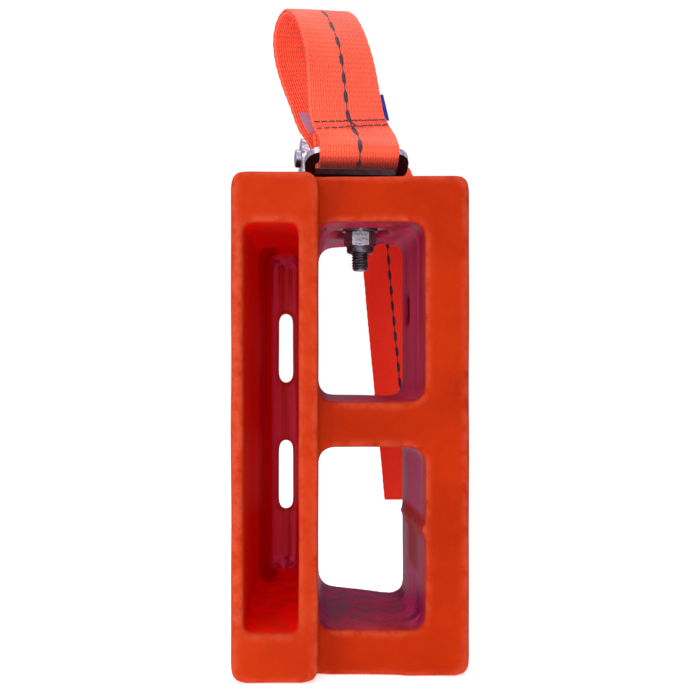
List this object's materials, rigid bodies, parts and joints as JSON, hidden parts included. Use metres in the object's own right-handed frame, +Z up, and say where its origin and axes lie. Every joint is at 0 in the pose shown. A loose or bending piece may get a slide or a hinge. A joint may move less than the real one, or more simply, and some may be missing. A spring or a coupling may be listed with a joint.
{
  "type": "strap-on guard block with cam buckle",
  "caption": "Cast elastomer guard block with a slotted trough and a two-window frame, and a cam buckle with a webbing loop swivelling on top.",
  "frame": {"origin": "middle of the block's base, on the surface it stands on", "axes": "+Z up along the block, +X to the right seen from the front, trough and windows open towards -Y"},
  "size_m": [0.1028, 0.1477, 0.2977],
  "materials": {
    "cast_urethane": "satin cast polyurethane",
    "zinc_steel": "zinc plated",
    "buckle_steel": "galvanised, dull",
    "spring_steel": "bright wire",
    "nylon": "matte",
    "webbing": "woven polyester with one dashed tracer",
    "thread": "bonded thread",
    "blue_cloth": "woven label",
    "pale_cloth": "woven label"
  },
  "bodies": {
    "block": {"block": "cast_urethane", "crush_sleeve": "zinc_steel", "recess_washer": "zinc_steel", "plain_washer": "zinc_steel", "lock_nut": "zinc_steel", "nut_insert": "nylon", "bolt": "zinc_steel", "thrust_washer": "zinc_steel", "head_washer": "zinc_steel"},
    "buckle": {"buckle_frame": "buckle_steel", "pivot_pin": "zinc_steel", "pin_clip": "spring_steel", "cam_spring": "spring_steel", "webbing_loop": "webbing", "fold_stitching": "thread", "blue_label": "blue_cloth", "pale_label": "pale_cloth", "webbing_tail": "webbing"},
    "cam": {"cam_lever": "buckle_steel"}
  },
  "joints": [
    {"name": "buckle_swivel", "type": "hinge", "parent": "block", "child": "buckle", "pos_m": [0.0052, -0.017, 0.218], "axis": [0, 0, 1], "range_deg": [-20, 20]},
    {"name": "cam_press", "type": "hinge", "parent": "buckle", "child": "cam", "pos_m": [-0.00124, 0.0024, 0.2316], "axis": [-0.9936, -0.1132, 0], "range_deg": [0, 30], "stiffness_Nm_per_rad": 0.15, "springref_deg": -20.05}
  ]
}
